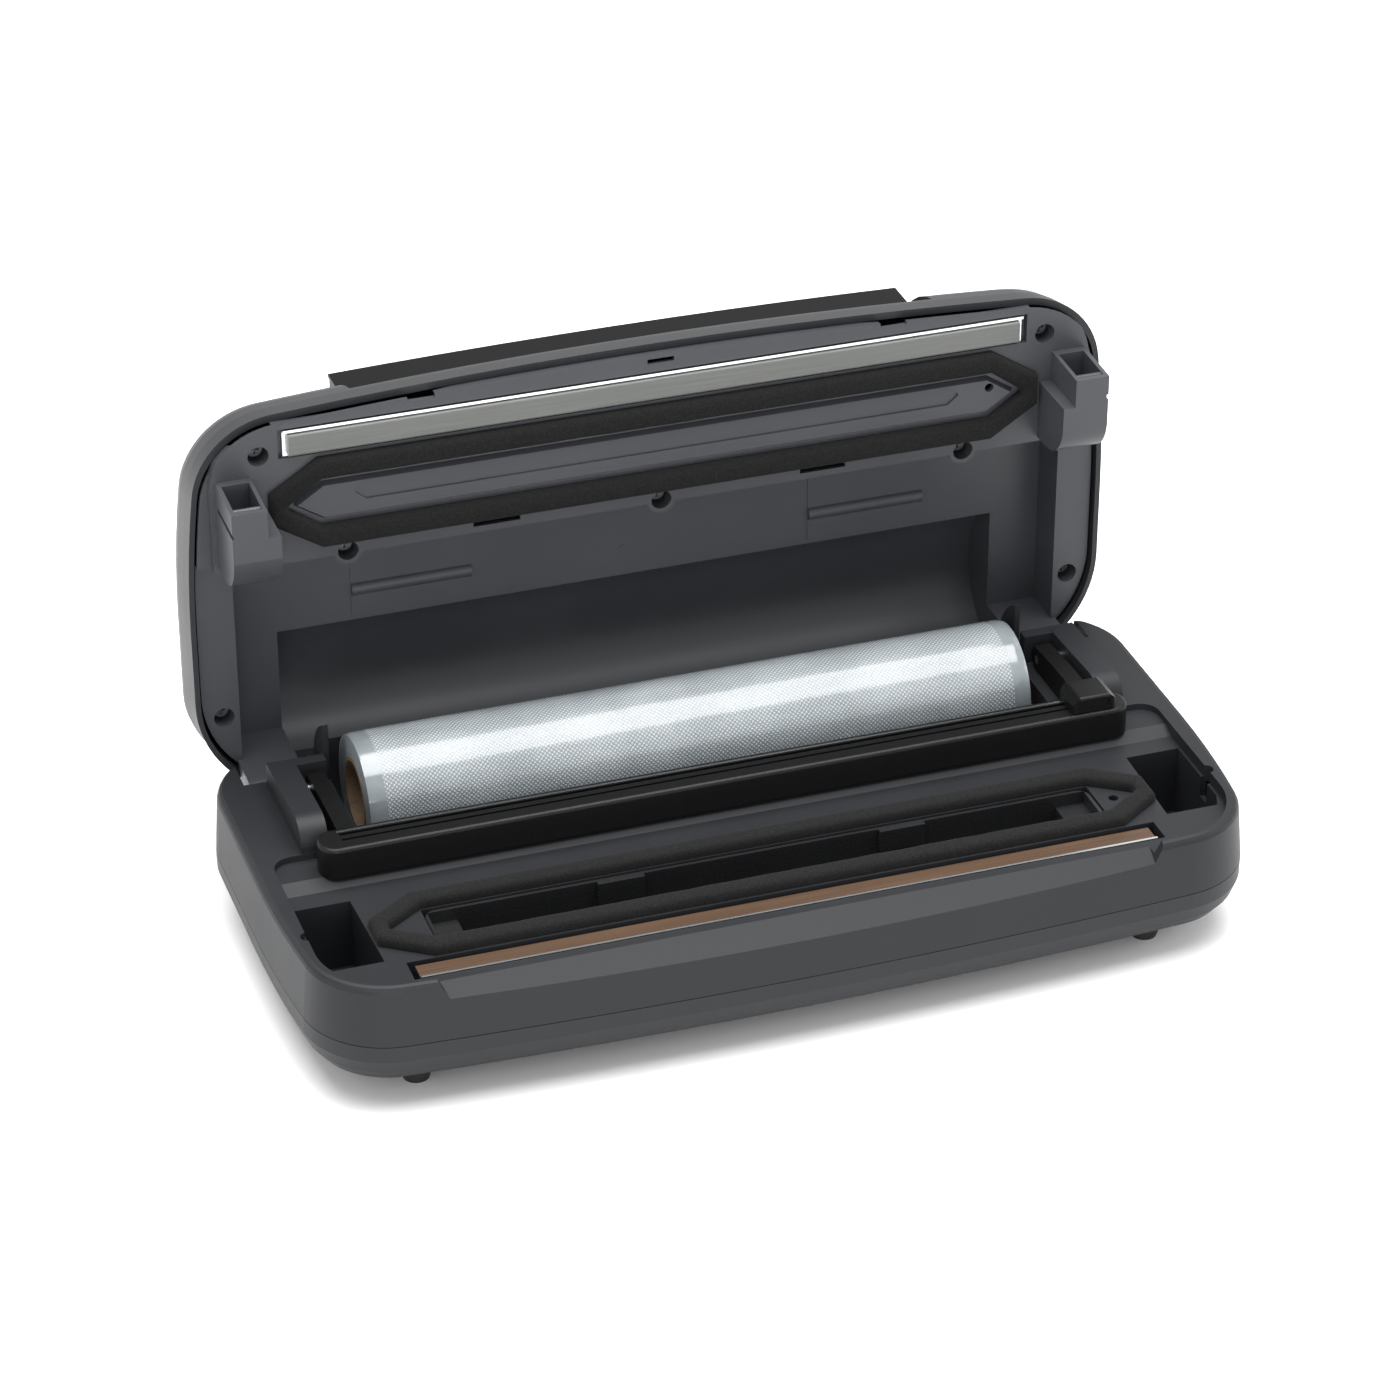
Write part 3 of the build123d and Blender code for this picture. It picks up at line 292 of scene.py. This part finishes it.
def board_material(name):
    t = Tree(name)
    t.set(Roughness=0.35)
    br = t.node("TexBrick")
    br.inputs["Scale"].default_value = 90.0
    br.inputs["Color1"].default_value = (0.012, 0.11, 0.045, 1)
    br.inputs["Color2"].default_value = (0.014, 0.13, 0.055, 1)
    br.inputs["Mortar"].default_value = (0.03, 0.20, 0.09, 1)
    br.inputs["Mortar Size"].default_value = 0.012
    t.link(t.coord.outputs["Object"], br.inputs["Vector"])
    t.link(br.outputs["Color"], t.bsdf.inputs["Base Color"])
    t.bump(t.noise(800.0), 0.2, 0.00003)
    return t.m


def rubber(name, v, rough=0.7):
    t = Tree(name)
    t.set(IOR=1.5)
    n = t.noise(900.0, 4.0, 0.6)
    t.link(t.ramp(n, [(0.3, grey(v * 0.7, (1, 1, 1))), (0.7, grey(v * 1.4, (1, 1, 1)))]), t.bsdf.inputs["Base Color"])
    t.link(t.map_range(n, 0.3, 0.7, rough + 0.08, rough - 0.08), t.bsdf.inputs["Roughness"])
    t.bump(n, 0.4, 0.00004)
    return t.m


M = {
    "housing_grey": moulded("housing_grey_fine", 0.0150, 0.46, 1500.0, spec=0.24, tint=(0.93, 0.98, 1.12)),
    "cover_grey": moulded("cover_grey_fine", 0.0175, 0.46, 1500.0, spec=0.24, tint=(0.93, 0.98, 1.12)),
    "lid_grey": moulded("lid_grey_fine", 0.0185, 0.44, 1500.0, spec=0.28, tint=(0.93, 0.98, 1.12)),
    "liner_grey": moulded("liner_grey_fine", 0.0420, 0.40, 1600.0, spec=0.42, tint=(0.93, 0.98, 1.12)),
    "cutter_black": grained("cutter_black_grain", 0.0032, 0.40),
    "tray_grey": moulded("tray_grey_fine", 0.014, 0.26, 1500.0, depth=0.000008, spec=0.5),
    "foam": foam_material("foam_sponge"),
    "foot_rubber": rubber("foot_rubber_fine", 0.009),
    "silicone": silicone_material("silicone_satin"),
    "tape": tape_material("tape_weave"),
    "bright_metal": metal("bright_metal_drawn", (0.86, 0.87, 0.88), 0.22),
    "steel": metal("steel_brushed", (0.52, 0.53, 0.55), 0.32),
    "screw_steel": metal("screw_zinc", (0.16, 0.16, 0.17), 0.42, (600.0, 600.0, 600.0)),
    "film": film_material("film_embossed"),
    "card": card_material("card_fibre"),
    "pump_black": moulded("pump_black_fine", 0.008, 0.5, 1500.0),
    "board_green": board_material("board_green_traces"),
    "hose": rubber("hose_soft", 0.32, 0.45),
    "panel_dark": moulded("panel_dark_fine", 0.0022, 0.34, 1400.0, depth=0.000010, spec=0.10),
    "key_grey": moulded("key_grey_fine", 0.034, 0.44, 1400.0, spec=0.42),
}
slot_of = {s["node"]: s["material_slot"] for s in frame["record"]["subparts"]}
for name, obj in nodes.items():
    m = M[slot_of[name]]
    if not obj.material_slots:
        obj.data.materials.append(m)
    for s in obj.material_slots:
        s.material = m
# Strike pins: a darker, rougher copy of the zinc-steel metal, so they render dark without a bright steel reflection.
strike_dark_metal = metal("strike_darkened", (0.075, 0.076, 0.080), 0.50, (600.0, 600.0, 600.0))
for s in nodes["strike_pins"].material_slots:
    s.material = strike_dark_metal


# ---------------------------------------------------------------------------
# Mesh helpers
# ---------------------------------------------------------------------------
def make_object(name, bm, mats, smooth=math.radians(40)):
    bmesh.ops.recalc_face_normals(bm, faces=bm.faces)
    me = bpy.data.meshes.new(name)
    bm.to_mesh(me)
    bm.free()
    for m in mats:
        me.materials.append(m)
    o = bpy.data.objects.new(name, me)
    bpy.context.scene.collection.objects.link(o)
    for p in me.polygons:
        p.use_smooth = True
    if smooth is not None:
        me.set_sharp_from_angle(angle=smooth)
    return o


def hexagon(tip, tab, bend, h):
    return [(-bend, h), (bend, h), (tip, tab), (tip, -tab), (bend, -h), (-bend, -h), (-tip, -tab), (-tip, tab)]


def walk(poly, step):
    """Corners joined by evenly spaced points; returns the points and how far each sits along its own edge."""
    pts = []
    for i in range(len(poly)):
        a, b = Vector(poly[i]), Vector(poly[(i + 1) % len(poly)])
        n = max(1, round((b - a).length / step))
        for k in range(n):
            pts.append((i, k / n))
    return pts


def foam_ring(name, outer, inner, to_world, low, high, seed, body, replaced):
    """A band of sponge between two matching polygons, crowned, with softly rolled edges."""
    profile = [(0.0, 0.0), (-0.015, 0.30), (0.0, 0.62), (0.05, 0.84), (0.14, 0.955), (0.30, 1.0), (0.50, 1.01), (0.70, 1.0), (0.86, 0.955), (0.95, 0.84), (1.0, 0.62), (1.015, 0.30), (1.0, 0.0)]
    marks = walk(outer, 2.2)
    bm = bmesh.new()
    rings = []
    for e, f in marks:
        a = Vector(outer[e]).lerp(Vector(outer[(e + 1) % len(outer)]), f)
        b = Vector(inner[e]).lerp(Vector(inner[(e + 1) % len(inner)]), f)
        row = []
        for s, h in profile:
            p = a.lerp(b, s)
            q = noise.noise(Vector((p.x * 0.09 + seed, p.y * 0.15, h * 2.0)))
            r = noise.noise(Vector((p.x * 0.6 + seed, p.y * 0.6, h * 4.0)))
            hh = h * (1 + 0.030 * q + 0.012 * r) if h > 0.01 else 0.0
            off = (b - a).normalized() * (0.10 * q + 0.07 * r) * (1 if 0.01 < h else 0)
            x, y = p.x + off.x, p.y + off.y
            row.append(bm.verts.new(to_world(x, y, low + (high - low) * hh)))
        rings.append(row)
    n = len(rings)
    for i in range(n):
        r0, r1 = rings[i], rings[(i + 1) % n]
        for k in range(len(profile)):
            k2 = (k + 1) % len(profile)
            bm.faces.new((r0[k], r1[k], r1[k2], r0[k2]))
    o = make_object(name, bm, [M["foam"]], None)
    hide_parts(replaced)
    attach(o, body)
    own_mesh(o)
    return o


foam_ring("lower_foam", hexagon(161.0, 7.3, 142.0, 20.4), hexagon(154.8, 1.6, 138.6, 12.3),
          lambda x, y, h: Vector((x * MM, -0.0445 + y * MM, h * MM)), 50.85, 56.2, 3.1,
          "base", "lower_gasket")
foam_ring("upper_foam", hexagon(162.3, 6.4, 141.8, 19.6), hexagon(155.0, 1.0, 141.2, 10.8),
          lambda x, y, h: Vector((x * MM, YH + 0.00945 - h * MM, ZH + 0.1245 + y * MM)), 0.0, 5.0, 8.7,
          "lid", "upper_gasket")


# ---------------------------------------------------------------------------
# Bag roll: wound film with a visible free edge, and its cardboard core
# ---------------------------------------------------------------------------
def film_roll():
    R, r0, half, cy, cz = 25.6, 15.7, 141.0, 55.0, 52.5
    bm = bmesh.new()
    uv = bm.loops.layers.uv.new("UVMap")
    nu, nv = 150, 132
    start = math.radians(-118)
    tuck = 0.45
    grid = []
    for i in range(nu + 1):
        x = -half + 2 * half * i / nu
        row = []
        for j in range(nv + 1):
            f = j / nv
            a = start + 2 * math.pi * f
            wob = 0.10 * noise.noise(Vector((x * 0.021, math.cos(a) * 1.4, math.sin(a) * 1.4)))
            wob += 0.05 * noise.noise(Vector((x * 0.10, math.cos(a) * 5, math.sin(a) * 5)))
            end = max(0.0, 1.0 - (half - abs(x)) / 2.4)
            r = R - tuck * (1 - f) + min(0.0, wob - 0.12) - 0.6 * end * end
            row.append(bm.verts.new(((x) * MM, (cy + r * math.cos(a)) * MM, (cz + r * math.sin(a)) * MM)))
        grid.append(row)
    for i in range(nu):
        for j in range(nv):
            f = bm.faces.new((grid[i][j], grid[i + 1][j], grid[i + 1][j + 1], grid[i][j + 1]))
            for lp, (a, b) in zip(f.loops, ((i, j), (i + 1, j), (i + 1, j + 1), (i, j + 1))):
                lp[uv].uv = (a / nu * 0.282, b / nv * 0.1608)
    # step where the last turn ends
    for i in range(nu):
        f = bm.faces.new((grid[i][0], grid[i][nv], grid[i + 1][nv], grid[i + 1][0]))
        for lp in f.loops:
            lp[uv].uv = (i / nu * 0.282, 0.0)
    # wound ends, turn edges standing slightly proud of one another
    rings = 26
    for side, row in ((-1, grid[0]), (1, grid[nu])):
        prev = row[:nv]
        for k in range(1, rings + 1):
            t = k / rings
            ring = []
            for j in range(nv):
                a = start + 2 * math.pi * j / nv
                rr = (R - tuck * (1 - j / nv) - 0.6) * (1 - t) + r0 * t
                spiral = (k + j / nv)
                lift = 0.16 * noise.noise(Vector((spiral * 1.7, side * 3.0, 0.0))) + 0.06 * noise.noise(Vector((spiral * 3.1, math.cos(a) * 2, math.sin(a) * 2)))
                x = side * (half - 0.12 + min(0.12, lift)) * MM
                ring.append(bm.verts.new((x, (cy + rr * math.cos(a)) * MM, (cz + rr * math.sin(a)) * MM)))
            for j in range(nv):
                j2 = (j + 1) % nv
                f = bm.faces.new((prev[j], prev[j2], ring[j2], ring[j]))
                f.material_index = 1
                for lp, (kk, jj) in zip(f.loops, ((k - 1, j), (k - 1, j + 1), (k, j + 1), (k, j))):
                    lp[uv].uv = (kk / rings * 30.0, jj / nv)
            prev = ring
        if side == -1:
            left = prev
        else:
            right = prev
    for j in range(nv):
        j2 = (j + 1) % nv
        f = bm.faces.new((left[j], left[j2], right[j2], right[j]))
        f.material_index = 1
    o = make_object("wound_film", bm, [M["film"], film_material("film_edge", False)], math.radians(35))
    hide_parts("film_roll")
    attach(o, "roll")
    return o


film_roll()


def core_tube():
    """Spiral-wound cardboard tube with a ply seam and slightly furred ends."""
    ro, ri, half, cy, cz = 15.65, 14.1, 141.2, 55.0, 52.5
    bm = bmesh.new()
    nv, nu = 72, 60
    loops = []
    for r, order in ((ro, range(nu + 1)), (ri, range(nu, -1, -1))):
        for i in order:
            x = -half + 2 * half * i / nu
            row = []
            for j in range(nv):
                a = 2 * math.pi * j / nv
                seam = (x / 62.0 + a / (2 * math.pi)) % 1.0
                dr = -0.10 if seam < 0.03 else 0.0
                fur = 0.05 * noise.noise(Vector((j * 1.3, i * 0.7, r)))
                rr = r + (dr + fur if r == ri else 0)
                xe = x + (0.06 * noise.noise(Vector((j * 2.1, r, 0))) - 0.06 if i == nu else 0) + (0.06 - 0.06 * noise.noise(Vector((j * 1.9, r, 4))) if i == 0 else 0)
                row.append(bm.verts.new((xe * MM, (cy + rr * math.cos(a)) * MM, (cz + rr * math.sin(a)) * MM)))
            loops.append(row)
    n = len(loops)
    for i in range(n):
        a, b = loops[i], loops[(i + 1) % n]
        for j in range(nv):
            j2 = (j + 1) % nv
            bm.faces.new((a[j], a[j2], b[j2], b[j]))
    o = make_object("card_core", bm, [M["card"]], math.radians(35))
    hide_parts("roll_core")
    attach(o, "roll")
    return o


core_tube()


# ---------------------------------------------------------------------------
# Floor, lights, camera
# ---------------------------------------------------------------------------
def floor():
    bm = bmesh.new()
    bmesh.ops.create_grid(bm, x_segments=8, y_segments=8, size=4.0)
    o = make_object("floor", bm, [], None)
    t = Tree("floor_pale")
    t.set(Roughness=0.75)
    n = t.noise(3.0, 3.0)
    t.link(t.ramp(n, [(0.3, (0.88, 0.88, 0.88)), (0.7, (0.90, 0.90, 0.90))]), t.bsdf.inputs["Base Color"])
    t.bump(t.noise(400.0), 0.02, 0.0001)
    o.data.materials.append(t.m)
    return o


floor()

world = bpy.data.worlds.new("studio")
bpy.context.scene.world = world
world.use_nodes = True
bg = world.node_tree.nodes["Background"]
bg.inputs["Color"].default_value = (1.0, 1.0, 1.0, 1.0)
bg.inputs["Strength"].default_value = 0.92


def softbox(name, at, look, size, watts, size_y=None):
    d = bpy.data.lights.new(name, "AREA")
    d.shape = "RECTANGLE"
    d.size = size
    d.size_y = size_y or size
    d.energy = watts
    o = bpy.data.objects.new(name, d)
    bpy.context.scene.collection.objects.link(o)
    o.location = at
    o.rotation_mode = "QUATERNION"
    o.rotation_quaternion = (Vector(look) - Vector(at)).to_track_quat("-Z", "Y")
    return o


softbox("top_box", (0.0, 0.0, 1.35), (0, 0.04, 0.08), 1.5, 38, 1.25)
softbox("front_box", (-0.5, -1.9, 0.30), (0, 0, 0.06), 1.2, 11, 0.5)
softbox("left_box", (-1.7, -0.45, 0.45), (0, 0, 0.06), 0.9, 2.5, 0.6)
softbox("right_box", (1.6, -0.5, 0.8), (0, 0, 0.1), 0.8, 5)
bpy.context.scene.view_settings.view_transform = "Standard"

cam_data = bpy.data.cameras.new("camera")
cam = bpy.data.objects.new("camera", cam_data)
bpy.context.scene.collection.objects.link(cam)
cam_data.sensor_fit = "HORIZONTAL"
cam_data.sensor_width = 36.0
cam_data.lens = 4716.9 / 1400 * 36.0
cam_data.clip_start, cam_data.clip_end = 0.05, 50.0
right = Vector((0.94634, -0.32318, 0.0))
up = Vector((0.16658, 0.48777, 0.85694))
back = Vector((-0.27695, -0.81096, 0.51543))
rot = Matrix((right, up, back)).transposed().to_4x4()
cam.matrix_world = Matrix.Translation((-0.5273, -1.50375, 1.05927)) @ rot
bpy.context.scene.camera = cam
